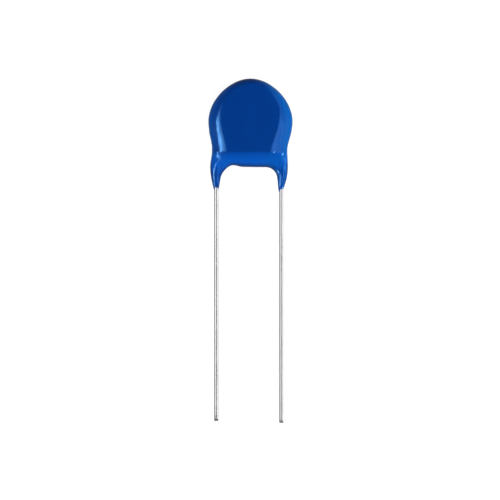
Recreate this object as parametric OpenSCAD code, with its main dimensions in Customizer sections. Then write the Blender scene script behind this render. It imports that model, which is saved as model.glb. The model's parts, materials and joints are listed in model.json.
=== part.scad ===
// Ceramic disc capacitor with two radial leads, dip-coated in epoxy.
//
// A fired ceramic disc carries a silver electrode on each face. A tinned wire lead is soldered
// to each electrode: the left one in front, the right one behind. The head is dipped in epoxy,
// which forms a round body, a web between the leads and a tapered leg down each lead.
//
// The capacitor lies on its back. X runs across the leads, the leads point along -Y and Z is up.
// The origin is on the coating's flat back, level with the disc's centre and midway between the
// leads. Everything is drawn about the mid-plane and then lifted by half the body's thickness.

/* [Leads] */
// Distance between the axes of the two leads
lead_pitch = 10; // [9:0.25:11]
// Diameter of the lead wire
wire_d = 0.65; // [0.5:0.05:0.75]
// Clean wire on the left lead, from the end of the coating to the cut
left_lead_l = 35.65; // [15:0.05:45]
// Clean wire on the right lead, from the end of the coating to the cut
right_lead_l = 35.95; // [15:0.05:45]
// Length of the wedge that the cutter leaves at each free end
cut_l = 0.45; // [0.3:0.05:1]
// Thickness left at the edge of that wedge
cut_land = 0.12; // [0.08:0.01:0.2]
// Straight wire gripped inside the end of the coating
grip_l = 0.5; // [0.4:0.05:0.7]
// Centre-line radius of the bends inside the coating
bend_r = 1.2; // [0.9:0.1:1.5]
// Height of the inward bend, below the disc's centre
hook_drop = 6.8; // [6.4:0.05:7.2]
// Angle of the inward bend, away from the lead's own line
hook_angle = 42; // [34:1:50]
// Wire from the inward bend's corner to its end on the electrode
hook_l = 7.6; // [7:0.1:8.2]

/* [Disc and electrodes] */
// Diameter of the ceramic disc
ceramic_d = 10.6; // [10:0.1:11.5]
// Thickness of the ceramic disc
ceramic_t = 1.8; // [1.4:0.1:2.2]
// How far the disc's centre sits to the right of the middle between the leads
disc_shift = 0.28; // [0:0.02:0.4]
// Bare ceramic between each silver electrode and the disc's rim
electrode_margin = 0.5; // [0.3:0.05:0.8]
// Thickness of each silver electrode
electrode_t = 0.02; // [0.01:0.005:0.05]

/* [Solder] */
// Solder left between the wire and the electrode
solder_film = 0.04; // [0.03:0.01:0.08]
// Solder over the top of the wire
solder_over = 0.06; // [0.04:0.01:0.1]
// Radius of the concave fillet on each side of the wire
solder_fillet_r = 0.5; // [0.3:0.05:0.6]
// Straight length of the solder joint
solder_l = 2.6; // [1.5:0.1:3]

/* [Coating] */
// Epoxy over each face of the ceramic
face_cover = 1.5; // [1.3:0.05:1.8]
// Epoxy round the ceramic's rim, where it is thinnest
rim_cover = 1.06; // [0.9:0.02:1.4]
// Extra epoxy at the left and right sides of the rim
side_swell = 0.16; // [0:0.02:0.3]
// Extra epoxy at the crown, furthest from the leads
crown_swell = 0.25; // [0:0.01:0.4]
// Height of the web from the ceramic's rim down to its free edge
web_l = 1.75; // [1.4:0.05:2.2]
// Half the thickness of the coating at the web's free edge
web_half_t = 1.15; // [1:0.05:1.4]
// Length of the slope between the web's free edge and the flat face
slope_l = 2.2; // [1.8:0.05:2.6]
// How far the legs of the coating run down the leads, below the web
leg_l = 3.45; // [2.8:0.05:4]
// Epoxy outside the wire where the left leg is thickest
left_leg_cover = 0.63; // [0.5:0.01:0.9]
// Epoxy outside the wire where the right leg is thickest
right_leg_cover = 0.77; // [0.5:0.01:0.9]
// Epoxy outside the wire at the left waist, between leg and body
left_waist_cover = 0.36; // [0.3:0.01:0.7]
// Epoxy outside the wire at the right waist
right_waist_cover = 0.66; // [0.3:0.01:0.7]
// Epoxy round the wire at the tip of each leg
tip_cover = 0.04; // [0.03:0.01:0.08]
// Slope of the left leg's inner edge, towards the middle
left_arch_lean = 0.19; // [0.08:0.01:0.3]
// Slope of the right leg's inner edge, towards the middle
right_arch_lean = 0.15; // [0.08:0.01:0.3]
// Radius between the web and the left leg
left_arch_r = 2.1; // [1:0.1:2.4]
// Radius between the web and the right leg
right_arch_r = 1.7; // [1:0.1:2.4]
// Height of the ripple in the web's free edge, near the left leg
ripple_h = 0.27; // [0:0.01:0.3]
// Where that ripple's top is, left of the middle
ripple_x = 2.5; // [2:0.1:2.8]
// Half the width of that ripple
ripple_w = 1.7; // [1:0.1:2]
// Width of the rounding of the web's free edge
web_round = 0.8; // [0.5:0.05:1]
// Width of the rounding at the sides of the body
side_round = 2.75; // [2:0.05:3.2]
// Width of the rounding at the waist
waist_round = 2.9; // [2:0.05:3.2]
// Width of the rounding at the crown
crown_round = 1.35; // [1:0.05:1.8]
// Epoxy over a wire where it shows through the coating as a low ridge
ridge_cover = 0.24; // [0.18:0.01:0.34]
// Radius of that ridge
ridge_r = 0.42; // [0.36:0.01:0.6]

/* [Hidden] */
$fn = 48;

LEFT = -1;
RIGHT = 1;

wire_r = wire_d / 2;
lead_x = lead_pitch / 2;

// Heights over the mid-plane.
face_z = ceramic_t / 2 + electrode_t;
wire_z = face_z + solder_film + wire_r;
body_half_t = ceramic_t / 2 + face_cover;

// Levels along the leads, from the disc's centre.
body_r = ceramic_d / 2 + rim_cover;
side_r = body_r + side_swell;
electrode_d = ceramic_d - 2 * electrode_margin;
web_y = -(ceramic_d / 2 + web_l);
flat_y = web_y + slope_l;
tip_y = web_y - leg_l;
grip_y = tip_y + grip_l;

// How the coating's outline and thickness are blended.
waist_l = 2.45;        // from the web's free edge up to the waist
waist_blend = 0.9;     // blends the legs into the round body
fade_y = -1.2;         // above this the legs no longer widen the body
fade_slope = 1.4;
side_angle = 40;       // the swell at the sides ends here
crown_angle = 45;      // the swell at the crown starts here
thickness_blend = 0.6; // blends leg and web thickness
crease_blend = 0.14;   // blends the slope into the flat face
ridge_blend = 0.5;     // blends a wire's ridge into the surface round it
ridge_fade = 0.45;     // the ridge fades out this close to the outline
ridge_start = 0.8;     // the ridge grows from this far above the tip of its leg
ridge_grow = 2.5;      // and is whole this much further up
shoulder_low = 0.85;   // the rim starts to widen this far below the web's edge on the left
                       // leg, and this far above it on the right one
shoulder_high = 0.55;  // the rim is a full bevel this far above the lower end of the flat face
lean_share = 0.55;     // how far each leg's middle follows its wire off the mid-plane
body_power = 2.3;      // superellipse power of the body's rim; 2 is an ellipse

// How finely the coating is drawn.
leg_steps = 12;
fan_steps = 34;
round_steps = 8;
slope_steps = 3;
crease_steps = 2;
flat_steps = 3;

// ---------------------------------------------------------------- small helpers

function smooth(t) = let (c = min(max(t, 0), 1)) c * c * (3 - 2 * c);
function mix(a, b, t) = a + (b - a) * t;
// Zero below 0 and t above it, with the corner rounded over +-soft.
function ramp(t, soft) = t <= -soft ? 0 : t >= soft ? t : pow(t + soft, 2) / (4 * soft);
function soft_max(a, b, soft) = max(a, b) + pow(max(soft - abs(a - b), 0), 2) / (4 * soft);
function unit(v) = v / norm(v);

// ---------------------------------------------------------------- lead wire

// The left lead inside the coating: up from the grip, out to the disc's face, then inwards.
hook_dir = [sin(hook_angle), cos(hook_angle), 0];
hook_corner = [-lead_x, -hook_drop, wire_z];
rise_dir = unit([0, -hook_drop - grip_y, wire_z]);
wire_sides = 20;
bend_steps = 5;
bend_neck = 0.98; // a bent wire is drawn slightly thinner than the straight wire it grows from

// The points of a bend at corner p, from direction a to direction b, each with its direction.
function bend(p, a, b, r) =
    let (turn = acos(a * b),
         side = unit(b - cos(turn) * a),
         start = p - r * tan(turn / 2) * a,
         centre = start + r * side)
    [for (i = [0:bend_steps])
        let (t = turn * i / bend_steps)
        [centre - r * (cos(t) * side - sin(t) * a), cos(t) * a + sin(t) * side]];

// The grip's bend is placed so that it starts exactly at the end of the straight wire.
function first_corner(r) =
    [-lead_x, grip_y + r * tan(acos(rise_dir.y) / 2), 0];
function rise_from(r) = unit(hook_corner - first_corner(r));

wire_path = concat(
    bend(first_corner(bend_r), [0, 1, 0], rise_from(bend_r), bend_r),
    bend(hook_corner, rise_from(bend_r), hook_dir, bend_r),
    [[hook_corner + hook_l * hook_dir, hook_dir]]);

module swept_wire(path, r) {
    rings = len(path);
    points = [for (s = path)
        let (across = unit(cross(s[1], [0, 0, 1])), up = cross(across, s[1]))
        for (i = [0:wire_sides - 1])
            s[0] + r * (cos(360 * i / wire_sides) * across + sin(360 * i / wire_sides) * up)];
    walls = [for (k = [0:rings - 2], i = [0:wire_sides - 1])
        let (j = (i + 1) % wire_sides, a = k * wire_sides, b = a + wire_sides)
        each [[a + i, a + j, b + j], [a + i, b + j, b + i]]];
    start_cap = [for (i = [wire_sides - 1:-1:0]) i];
    end_cap = [for (i = [0:wire_sides - 1]) (rings - 1) * wire_sides + i];
    polyhedron(points, concat(walls, [start_cap], [end_cap]), convexity = 4);
}

// The wedge that side cutters leave: two slopes that meet in a narrow land.
module cut_end(lead_l) {
    for (face = [0, 180])
        translate([0, tip_y - lead_l, 0])
            rotate([0, face, 0])
                rotate([90, 0, 90])
                    linear_extrude(2 * wire_d, center = true)
                        polygon([[-cut_l, cut_land / 2], [0, cut_land / 2], [cut_l, wire_r],
                                 [cut_l, wire_d], [-cut_l, wire_d]]);
}

// The left lead, in front of the disc. The right lead is the same, turned behind the disc.
module lead(lead_l) {
    difference() {
        translate([-lead_x, grip_y, 0])
            rotate([90, 0, 0])
                cylinder(r = wire_r, h = grip_l + lead_l);
        translate([-lead_x, 0, 0])
            cut_end(lead_l);
    }
    swept_wire(wire_path, wire_r * bend_neck);
}

// ---------------------------------------------------------------- solder joint

bead_z = solder_film + wire_r; // the wire's axis over the electrode
bead_r = wire_r + solder_over;
bead_steps = 5;
end_cover = 0.1; // the joint's rounded end reaches past the wire's end by its own radius less this
toe_angle = 20;  // the fillet stops short of a feather edge
fillet_x = sqrt(pow(bead_r + solder_fillet_r, 2) - pow(solder_fillet_r - bead_z, 2));
meet_angle = atan2(solder_fillet_r - bead_z, fillet_x);

// Half of the joint's section, from its toe up over the wire.
bead_half = concat(
    [let (toe = 270 - toe_angle) [fillet_x + solder_fillet_r * cos(toe), 0]],
    [for (i = [0:bead_steps])
        let (a = mix(270 - toe_angle, 180 + meet_angle, i / bead_steps))
        [fillet_x + solder_fillet_r * cos(a), solder_fillet_r + solder_fillet_r * sin(a)]],
    [for (i = [1:bead_steps])
        let (a = mix(meet_angle, 90, i / bead_steps))
        [bead_r * cos(a), bead_z + bead_r * sin(a)]]);
bead_other_half = [for (i = [len(bead_half) - 2:-1:0]) [-bead_half[i].x, bead_half[i].y]];

// The joint without the wire through it, along the left lead's last stretch.
module solder_bead() {
    translate(hook_corner + (hook_l - end_cover - solder_l) * hook_dir + [0, 0, face_z - wire_z])
        rotate([0, 0, 90 - hook_angle]) {
            rotate([90, 0, 90])
                linear_extrude(solder_l)
                    polygon(concat(bead_half, bead_other_half));
            rotate([0, 0, 90])
                bead_end();
            translate([solder_l, 0, 0])
                rotate([0, 0, -90])
                    bead_end();
        }
}

module bead_end() {
    rotate_extrude(angle = 180)
        polygon(concat([[0, 0]], bead_half));
}

// ---------------------------------------------------------------- coating

// Plan coordinates here are [u, y], where u runs outwards from the middle on either side.

// Half the coating's thickness: thin at the leg's tip, thicker at the web, full on the body.
leg_slope = (web_half_t - wire_r - tip_cover) / leg_l;
web_slope = (body_half_t - web_half_t) / slope_l;
function half_t(y) =
    wire_r + tip_cover + leg_slope * (y - tip_y)
    + (web_slope - leg_slope) * ramp(y - web_y, thickness_blend)
    - web_slope * ramp(y - flat_y, crease_blend);

// How far the middle of the coating leaves the mid-plane: each leg follows its own wire.
function mid_lift(p) =
    let (rise = max(0, (p.y - grip_y) * wire_z / (flat_y - grip_y)),
         fade = 1 - smooth((p.y - web_y + 0.4) / waist_l))
    -sign(p.x) * lean_share * rise * fade * smooth(abs(p.x) / lead_x);

// Epoxy outside the wire: it swells from the tip to the web, then thins to the waist.
function leg_cover(side, y) =
    let (full = side == LEFT ? left_leg_cover : right_leg_cover,
         waist = side == LEFT ? left_waist_cover : right_waist_cover)
    y < web_y
        ? mix(tip_cover, full, sin(90 * (y - tip_y) / leg_l))
        : mix(full, waist, smooth((y - web_y) / waist_l));
function leg_outside(side, y) =
    lead_x + wire_r + leg_cover(side, y) - fade_slope * ramp(y - fade_y, waist_l / 4);
function body_outside(side, y) = side * disc_shift + sqrt(max(0, side_r * side_r - y * y));
function outside(side, y) = soft_max(body_outside(side, y), leg_outside(side, y), waist_blend);

// Above the disc's centre the outline is a circle that swells at the sides and the crown.
function upper_r(a) =
    body_r + side_swell * (1 - smooth(a / side_angle))
    + crown_swell * smooth((a - crown_angle) / (90 - crown_angle));

// The inner edge: a leaning line up each leg, an arc, and the web's free edge.
function arch_lean(side) = side == LEFT ? left_arch_lean : right_arch_lean;
function arch_r(side) = side == LEFT ? left_arch_r : right_arch_r;
function arch_start(side) = atan(arch_lean(side));
function inside(side, y) = lead_x - wire_r - tip_cover - arch_lean(side) * (y - tip_y);
function arc_u(side) = inside(side, web_y) - arch_r(side) * tan((90 - arch_start(side)) / 2);
function root_y(side) = web_y - arch_r(side) * (1 - sin(arch_start(side)));
function ripple(side, u) =
    side == LEFT && abs(u - ripple_x) < ripple_w
        ? ripple_h * pow(cos(90 * (u - ripple_x) / ripple_w), 2)
        : 0;

function arch_point(side, q) =
    let (r = arch_r(side),
         arc_l = r * (90 - arch_start(side)) * PI / 180,
         s = q * (arc_l + arc_u(side)),
         a = mix(arch_start(side), 90, min(s / arc_l, 1)),
         u = arc_u(side) + r * cos(a) - max(0, s - arc_l))
    [u, web_y - r + r * sin(a) + ripple(side, u)];

function body_point(side, q) =
    let (low = -root_y(side),
         split = low / (low + body_r * PI / 2),
         y = -low * (1 - q / split),
         a = 90 * (q - split) / (1 - split))
    q < split
        ? [outside(side, y), y]
        : [side * disc_shift + upper_r(a) * cos(a), upper_r(a) * sin(a)];

// The rim is narrow on a leg, widens over the shoulder into a broad bevel, and is tight
// again at the crown, where the epoxy drained away.
function leg_half(side, y) = (outside(side, y) - inside(side, y)) / 2;
function shoulder_y(side) = web_y + side * shoulder_low;
function outer_round(side, y) =
    let (top_y = flat_y + shoulder_high,
         bevel = mix(waist_round, side_round, smooth(1 - y / top_y)),
         share = smooth((y - shoulder_y(side)) / (top_y - shoulder_y(side))))
    y > 0
        ? mix(side_round, crown_round, smooth(y / body_r))
        : mix(leg_half(side, root_y(side)), bevel, share);

// The coating is skinned over ribs. Each runs in plan from the inner edge to the outer edge:
// [inner point, outer point, inner rounding, outer rounding, power of the outer rim].
function leg_rib(side, t) =
    let (y = mix(tip_y, root_y(side), pow(t, 1.2)), half = leg_half(side, y))
    [[inside(side, y), y], [outside(side, y), y], half, half, 2];

function fan_rib(side, q) =
    let (from = arch_point(side, q), to = body_point(side, q))
    [from, to,
     mix(leg_half(side, root_y(side)), web_round, smooth(q / 0.4)),
     outer_round(side, to.y),
     mix(2, body_power, smooth(q / 0.3))];

function side_ribs(side) = concat(
    [for (k = [0:leg_steps]) leg_rib(side, k / leg_steps)],
    [for (k = [1:fan_steps]) fan_rib(side, k / fan_steps)]);

function placed(rib, side) =
    [[side * rib[0].x, rib[0].y], [side * rib[1].x, rib[1].y], rib[2], rib[3], rib[4]];

ribs = let (left = side_ribs(LEFT), right = side_ribs(RIGHT), n = len(right))
    concat([for (rib = left) placed(rib, LEFT)],
           [for (k = [n - 2:-1:0]) placed(right[k], RIGHT)]);
inner_edge = [for (rib = ribs) rib[0]];
outer_edge = [for (rib = ribs) rib[1]];

// How far along from a to b the point nearest to p lies, from 0 to 1.
function nearest_share(p, a, b) = min(max((p - a) * (b - a) / ((b - a) * (b - a)), 0), 1);
function distance_to(edge, p) =
    min([for (i = [0:len(edge) - 2])
        norm(p - mix(edge[i], edge[i + 1], nearest_share(p, edge[i], edge[i + 1])))]);

// How squarely a rib meets an edge: 1 where it meets it at a right angle.
function squareness(k, edge) =
    let (along = unit(ribs[k][1] - ribs[k][0]),
         run = unit(edge[min(k + 1, len(edge) - 1)] - edge[max(k - 1, 0)]))
    max(0.35, abs(along.x * run.y - along.y * run.x));

// The share of the full thickness at a distance from a rounded edge.
function edge_height(d, width, power) =
    d >= width ? 1 : pow(1 - pow(1 - d / width, power), 1 / power);

// Where a rib is sampled, as distances from its inner edge.
function rib_stops(l, inner, outer, crease) =
    let (last = 1 - cos(90 * (1 - 1 / round_steps)),
         a = inner * last,
         b = l - outer * last,
         half = min(crease_blend, (b - a) / 6),
         c = min(max(crease, a + 2 * half), b - 2 * half))
    concat(
        [for (i = [1:round_steps - 1]) inner * (1 - cos(90 * i / round_steps))],
        [for (i = [1:slope_steps]) mix(a, c - half, i / slope_steps)],
        [for (i = [1:crease_steps]) mix(c - half, c + half, i / crease_steps)],
        [for (i = [1:flat_steps]) mix(c + half, b, i / flat_steps)],
        [for (i = [round_steps - 2:-1:1]) l - outer * (1 - cos(90 * i / round_steps))]);

// The wire under a point, as [distance in plan, height of the wire's axis].
function wire_under(p, side) =
    let (q = [-side * p.x, p.y],
         spans = [for (i = [0:len(wire_path) - 2])
            let (a = wire_path[i][0],
                 b = wire_path[i + 1][0],
                 t = nearest_share(q, [a.x, a.y], [b.x, b.y]),
                 c = mix(a, b, t))
            [norm(q - [c.x, c.y]), c.z]],
         least = min([for (span = spans) span[0]]))
    [for (span = spans) if (span[0] == least) span][0];

// A surface raised to cover the wire on its own side. It is unchanged at the outline.
function ridged(p, surface, side, edge_distance) =
    let (wire = wire_under(p, side),
         cover = ridge_cover * smooth((p.y - tip_y - ridge_start) / ridge_grow),
         top = wire[1] + wire_r + cover - pow(wire[0], 2) / (2 * ridge_r))
    min(body_half_t,
        mix(surface, soft_max(surface, top, ridge_blend), smooth(edge_distance / ridge_fade)));

// The front and the back of the coating at a point, as heights over the mid-plane.
function front_and_back(p, inner, outer, power) =
    let (from_inner = distance_to(inner_edge, p),
         from_outer = distance_to(outer_edge, p),
         edge_distance = min(from_inner, from_outer),
         lift = mid_lift(p),
         height = half_t(p.y) * edge_height(from_inner, inner, 2)
            * edge_height(from_outer, outer, power))
    [ridged(p, height + lift, LEFT, edge_distance),
     -ridged(p, height - lift, RIGHT, edge_distance)];

// One closed section of the coating: over the front from inner to outer edge, then back.
function section(k) =
    let (from = ribs[k][0],
         to = ribs[k][1],
         l = norm(to - from),
         along = (to - from) / l,
         room = distance_to(inner_edge, (from + to) / 2) + distance_to(outer_edge, (from + to) / 2),
         squeeze = min(1, room / (ribs[k][2] + ribs[k][3])),
         inner = ribs[k][2] * squeeze,
         outer = ribs[k][3] * squeeze,
         inner_reach = inner / squareness(k, inner_edge),
         outer_reach = outer / squareness(k, outer_edge),
         fit = min(1, 0.98 * l / (inner_reach + outer_reach)),
         crease = along.y > 0.01 ? (flat_y - from.y) / along.y : l / 2,
         stops = rib_stops(l, inner_reach * fit, outer_reach * fit, crease),
         plan = [for (d = stops) from + d * along],
         sides = [for (p = plan) front_and_back(p, inner, outer, ribs[k][4])],
         n = len(stops))
    concat(
        [[from.x, from.y, mid_lift(from)]],
        [for (i = [0:n - 1]) [plan[i].x, plan[i].y, sides[i][0]]],
        [[to.x, to.y, mid_lift(to)]],
        [for (i = [n - 1:-1:0]) [plan[i].x, plan[i].y, sides[i][1]]]);

// The outside of the coating: its sections, skinned from the left leg's tip to the right's.
module coating_skin() {
    sections = [for (k = [0:len(ribs) - 1]) section(k)];
    points = [for (s = sections) each s];
    n = len(sections[0]);
    last = len(sections) - 1;
    // Each quad between two sections is split along its shorter diagonal.
    walls = [for (k = [0:last - 1], i = [0:n - 1])
        let (j = (i + 1) % n, a = k * n, b = a + n)
        each norm(points[a + i] - points[b + j]) < norm(points[b + i] - points[a + j])
            ? [[a + i, b + i, b + j], [a + i, b + j, a + j]]
            : [[a + i, b + i, a + j], [b + i, b + j, a + j]]];
    left_cap = [for (i = [0:n - 1]) i];
    right_cap = [for (i = [n - 1:-1:0]) last * n + i];
    polyhedron(points, concat(walls, [left_cap], [right_cap]), convexity = 6);
}

// ---------------------------------------------------------------- nodes

module lifted() {
    translate([0, 0, body_half_t])
        children();
}

module behind() {
    rotate([0, 180, 0])
        children();
}

module disc_plate(d, t, z) {
    translate([disc_shift, 0, z])
        cylinder(d = d, h = t);
}

module ceramic_disc() {
    color("tan")
        lifted()
            disc_plate(ceramic_d, ceramic_t, -ceramic_t / 2);
}

module front_electrode() {
    color("gainsboro")
        lifted()
            disc_plate(electrode_d, electrode_t, ceramic_t / 2);
}

module back_electrode() {
    color("gainsboro")
        lifted()
            disc_plate(electrode_d, electrode_t, -face_z);
}

module left_lead() {
    color("lightgray")
        lifted()
            lead(left_lead_l);
}

module right_lead() {
    color("lightgray")
        lifted()
            behind()
                lead(right_lead_l);
}

module front_solder() {
    color("silver")
        lifted()
            difference() {
                solder_bead();
                swept_wire(wire_path, wire_r * bend_neck);
            }
}

module back_solder() {
    color("silver")
        lifted()
            behind()
                difference() {
                    solder_bead();
                    swept_wire(wire_path, wire_r * bend_neck);
                }
}

module epoxy_coating() {
    color([0.02, 0.22, 0.55])
        difference() {
            lifted()
                coating_skin();
            ceramic_disc();
            front_electrode();
            back_electrode();
            lifted() {
                solder_bead();
                behind()
                    solder_bead();
            }
            left_lead();
            right_lead();
        }
}

epoxy_coating();
ceramic_disc();
front_electrode();
back_electrode();
front_solder();
back_solder();
left_lead();
right_lead();
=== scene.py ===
# %% [markdown]
# # A dip-coated disc capacitor
#
# The real part is a fired ceramic disc with a wire soldered to each face, dipped head first in blue
# epoxy. The epoxy is what is seen: a round body, a web between the wires and a leg down each wire.
# It lies on its flat back, and the camera looks straight down on it.
#
# The frame holds every piece at its real size: the disc, electrodes and solder inside, the wires, and
# the coating. This file keeps those places. It gives the hidden pieces their finish, and models the two
# pieces that show, the coating and the wires, again as finer meshes.

import json
import math

import bpy
import numpy as np
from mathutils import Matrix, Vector, noise


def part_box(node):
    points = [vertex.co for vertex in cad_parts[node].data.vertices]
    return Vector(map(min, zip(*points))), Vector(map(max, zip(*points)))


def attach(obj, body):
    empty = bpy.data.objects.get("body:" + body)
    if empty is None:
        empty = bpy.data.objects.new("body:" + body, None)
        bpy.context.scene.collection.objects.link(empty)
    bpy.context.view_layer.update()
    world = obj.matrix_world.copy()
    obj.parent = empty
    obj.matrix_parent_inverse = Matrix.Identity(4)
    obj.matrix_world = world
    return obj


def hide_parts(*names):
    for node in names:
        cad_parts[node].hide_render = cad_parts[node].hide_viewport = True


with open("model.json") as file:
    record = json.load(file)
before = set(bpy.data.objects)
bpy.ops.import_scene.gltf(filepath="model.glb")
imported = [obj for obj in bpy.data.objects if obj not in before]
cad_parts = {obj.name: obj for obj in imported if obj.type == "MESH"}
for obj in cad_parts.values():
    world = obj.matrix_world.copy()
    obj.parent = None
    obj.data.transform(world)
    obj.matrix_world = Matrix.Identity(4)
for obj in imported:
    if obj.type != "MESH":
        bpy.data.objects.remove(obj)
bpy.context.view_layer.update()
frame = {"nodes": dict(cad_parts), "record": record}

# %% [markdown]
# ## Sizes from the frame
#
# A lead's place and radius come from its mount, and the body's from the coating's own box. They could
# be typed in again, but read from the frame they stay right if it changes. All shapes are worked out in
# millimetres about the mid-plane of the body, which is where the leads leave it, and are scaled to
# metres and lifted when a mesh is made.

# %% Sizes from the frame
MM = 0.001
LEFT, RIGHT = -1, 1


def box_mm(node):
    low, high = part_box(node)
    return np.array(low) / MM, np.array(high) / MM


mounts = {mount["name"]: mount for mount in frame["record"]["mounts"]}
wire_r = mounts["right_lead"]["dims"]["r_mm"]
lead_x = mounts["right_lead"]["pos_m"][0] / MM
mid_z = mounts["right_lead"]["pos_m"][2] / MM

coat_lo, coat_hi = box_mm("epoxy_coating")
disc_lo, disc_hi = box_mm("ceramic_disc")
body_half_t = (coat_hi[2] - coat_lo[2]) / 2
disc_shift = (disc_lo[0] + disc_hi[0]) / 2
disc_r = (disc_hi[1] - disc_lo[1]) / 2
side_r = (coat_hi[0] - coat_lo[0]) / 2
crown_r = coat_hi[1]
tip_y = coat_lo[1]
print(f"wire {2 * wire_r:.2f}, pitch {2 * lead_x:.2f}, body {2 * side_r:.2f} x {2 * body_half_t:.2f} mm")

# %% [markdown]
# ## Camera
#
# A long lens a short way above the table gives almost no perspective, which suits a small flat part.
# An orthographic camera would come close, but a real lens keeps what little perspective there is. The
# view is set by a real width: it spans a little over 77 mm of the table, and its centre falls part of
# the way down the leads.

# %% Camera
VIEW_W = 77.05
VIEW_X = 0.21
VIEW_Y = -19.80
LENS = 135.0


def add_camera():
    data = bpy.data.cameras.new("camera")
    data.lens = LENS
    data.clip_start, data.clip_end = 0.005, 10.0
    camera = bpy.data.objects.new("camera", data)
    bpy.context.scene.collection.objects.link(camera)
    distance = VIEW_W * LENS / data.sensor_width
    camera.location = np.array((VIEW_X, VIEW_Y, mid_z + distance)) * MM
    bpy.context.scene.camera = camera
    return distance


print(f"camera {add_camera():.0f} mm above the leads")

# %% [markdown]
# ## Node helper
#
# Every finish is a small graph of shader nodes. A graph could be drawn by hand in the shader editor, but
# one that is written down is the same on each run. This class keeps it short: add makes a node, and sets
# or links its inputs in the same call, and the other calls stand for the few nodes that every finish
# uses. Textures are read in object space and in millimetres, so a grain of 0.5 is half a millimetre on
# the real part. A noise lies mostly within NOISE_SPREAD, and a roughness of GRAINY gives it more fine
# detail than the usual 0.5.

# %% Node helper
MIX_FACTOR, MIX_A, MIX_B, MIX_RESULT = 0, 6, 7, 2
MIX_FLOAT_A, MIX_FLOAT_B = 2, 3
NOISE_SPREAD = (0.3, 0.7)
GRAINY = 0.6


class Graph:
    """A material's or world's node graph, with short calls to add and link nodes."""

    def __init__(self, tree):
        self.tree = tree
        tree.nodes.clear()

    def add(self, kind, values=None, **settings):
        node = self.tree.nodes.new(kind)
        for name, value in settings.items():
            setattr(node, name, value)
        for name, value in (values or {}).items():
            if isinstance(value, bpy.types.NodeSocket):
                self.tree.links.new(value, node.inputs[name])
            else:
                node.inputs[name].default_value = value
        return node

    def place_mm(self, stretch=(1, 1, 1)):
        """Object coordinates in millimetres, each axis divided by its stretch."""
        place = self.add("ShaderNodeTexCoord").outputs["Object"]
        scale = tuple(1 / (MM * s) for s in stretch)
        return self.add("ShaderNodeMapping", {"Vector": place, "Scale": scale}).outputs["Vector"]

    def noise(self, place, grain, detail, roughness=0.5):
        values = {"Vector": place, "Scale": 1 / grain, "Detail": detail, "Roughness": roughness}
        return self.add("ShaderNodeTexNoise", values).outputs["Fac"]

    def remap(self, value, low, high, to_low, to_high, smooth=False):
        kind = "SMOOTHSTEP" if smooth else "LINEAR"
        values = {"Value": value, "From Min": low, "From Max": high, "To Min": to_low, "To Max": to_high}
        return self.add("ShaderNodeMapRange", values, interpolation_type=kind).outputs["Result"]

    def mix_colour(self, factor, a, b):
        values = {MIX_FACTOR: factor, MIX_A: a, MIX_B: b}
        return self.add("ShaderNodeMix", values, data_type="RGBA").outputs[MIX_RESULT]

    def maths(self, operation, a, b=0.0):
        return self.add("ShaderNodeMath", {0: a, 1: b}, operation=operation).outputs[0]

    def bump(self, height, distance_mm, normal=None):
        values = {"Height": height, "Distance": distance_mm * MM}
        if normal is not None:
            values["Normal"] = normal
        return self.add("ShaderNodeBump", values).outputs["Normal"]


print("calls:", ", ".join(call for call in vars(Graph) if not call.startswith("_")))

# %% Begin and end a finish


def new_material(name):
    material = bpy.data.materials.new(name)
    material.use_nodes = True
    return material, Graph(material.node_tree)


def finish_with(graph, shader):
    """End a material's graph with this shader. Returns how many nodes the finish took."""
    graph.add("ShaderNodeOutputMaterial", {"Surface": shader.outputs[0]})
    return len(graph.tree.nodes)


# %% [markdown]
# ## Table and tent
#
# The part lies on a white table with a low white sweep behind it, in a dark studio. Softboxes give the
# light. A shiny part shows what stands around it: its flat face mirrors the dark ceiling and stays deep
# in colour, its bevels pick up the strips, and each wire shows a darker line along its top.
#
# More light would whiten the table too, but it would wash out the part. So the white of the table and
# the sweep is given to the rays that look at them, from the camera or off a shiny surface, and not to
# the light that falls on the part. The table still takes the part's shadow.

# %% The table
FLOOR_DROP = 0.02
FLOOR_SIZE = 4.0
FLOOR_ALBEDO = 0.20
FLOOR_LIFT = 0.88
SHADE = 0.10
SHADE_REACH = (0.004, 0.100)


def seen_directly(graph):
    """1 for rays from the camera or off a shiny or clear surface, 0 for rays that only carry light."""
    path = graph.add("ShaderNodeLightPath").outputs
    shiny = graph.maths("MAXIMUM", path["Is Glossy Ray"], path["Is Transmission Ray"])
    return graph.maths("MAXIMUM", path["Is Camera Ray"], shiny)


def add_floor():
    """A white table. Close under a shiny part, where its own reflection is short, the white is darker: a
    painted shade.
    """
    bpy.ops.mesh.primitive_plane_add(size=FLOOR_SIZE, location=(0, 0, -FLOOR_DROP * MM))
    floor = bpy.context.object
    floor.name = "table"
    material, graph = new_material("white_table")
    paper = graph.add("ShaderNodeBsdfDiffuse", {"Color": (FLOOR_ALBEDO,) * 3 + (1,)})
    length = graph.add("ShaderNodeLightPath").outputs["Ray Length"]
    # Painted shade: the table's glow, as mirrored in the part, is darker where the mirrored ray is short.
    shade = graph.remap(length, *SHADE_REACH, SHADE, 1.0, smooth=True)
    lift = graph.maths("MULTIPLY", graph.maths("MULTIPLY", seen_directly(graph), FLOOR_LIFT), shade)
    glow = graph.add("ShaderNodeEmission", {"Color": (1, 1, 1, 1), "Strength": lift})
    both = graph.add("ShaderNodeAddShader", {0: paper.outputs[0], 1: glow.outputs[0]})
    finish_with(graph, both)
    floor.data.materials.append(material)


add_floor()
print(f"table {FLOOR_DROP} mm under the part")

# %% The tent
FILL = 0.18
SWEEP_TOP = (0.02, 0.16)
STUDIO_DARK = 0.30
CEILING = (0.86, 0.985)
CEILING_DARK = 0.35


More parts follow.
